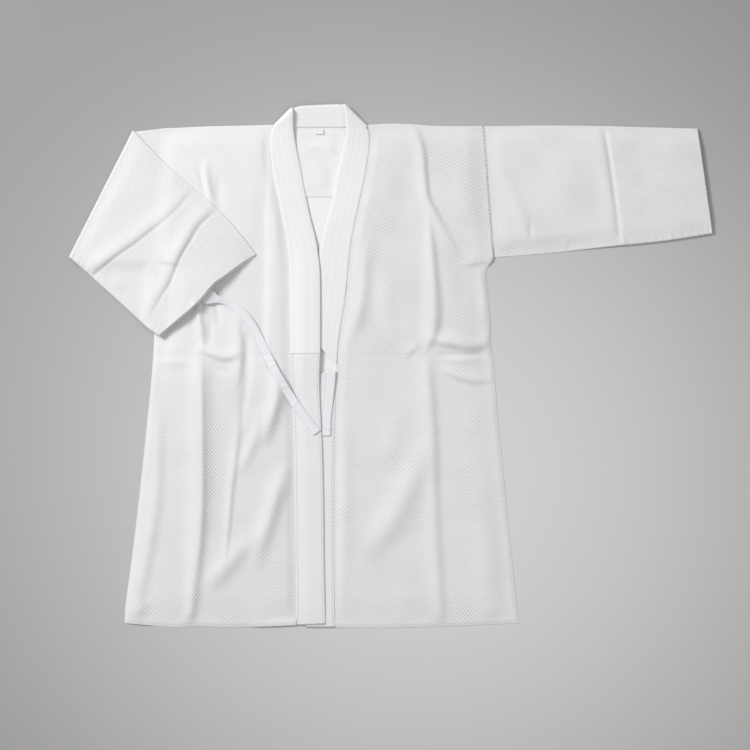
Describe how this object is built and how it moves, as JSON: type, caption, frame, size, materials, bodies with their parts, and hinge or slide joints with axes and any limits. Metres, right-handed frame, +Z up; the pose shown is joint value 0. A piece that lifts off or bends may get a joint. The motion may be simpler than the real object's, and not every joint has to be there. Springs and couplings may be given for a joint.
{
  "type": "kendo jacket",
  "caption": "White cotton kendo jacket laid flat, front up: wide sleeves, one folded over the front, a quilted collar band, a skirt below a waist seam, and ties.",
  "frame": {"origin": "on the surface under the centre line of the back, level with the waist seam of the fronts", "axes": "+X to the wearer's left along the shoulder line, +Y from the hem to the collar, +Z up through the layers from the back to the front"},
  "size_m": [1.0921, 0.8898, 0.0303],
  "materials": {
    "sashiko": "thick white cotton with a raised rice-grain weave",
    "skirt": "white cotton with a coarse diagonal diamond weave",
    "collar": "smooth white cotton quilted in lengthwise rows",
    "lining": "plain white cotton",
    "tape": "plain white cotton tape"
  },
  "bodies": {
    "root": {"back_upper": "sashiko", "back_skirt": "skirt", "inner_yoke": "lining", "front_right_upper": "sashiko", "front_left_upper": "sashiko", "front_right_skirt": "skirt", "front_left_skirt": "skirt", "sleeve_left": "sashiko", "sleeve_right": "sashiko", "collar": "collar", "band_right": "skirt", "band_left": "skirt", "tie_right": "tape", "tie_left": "tape", "neck_label": "tape"}
  },
  "joints": []
}
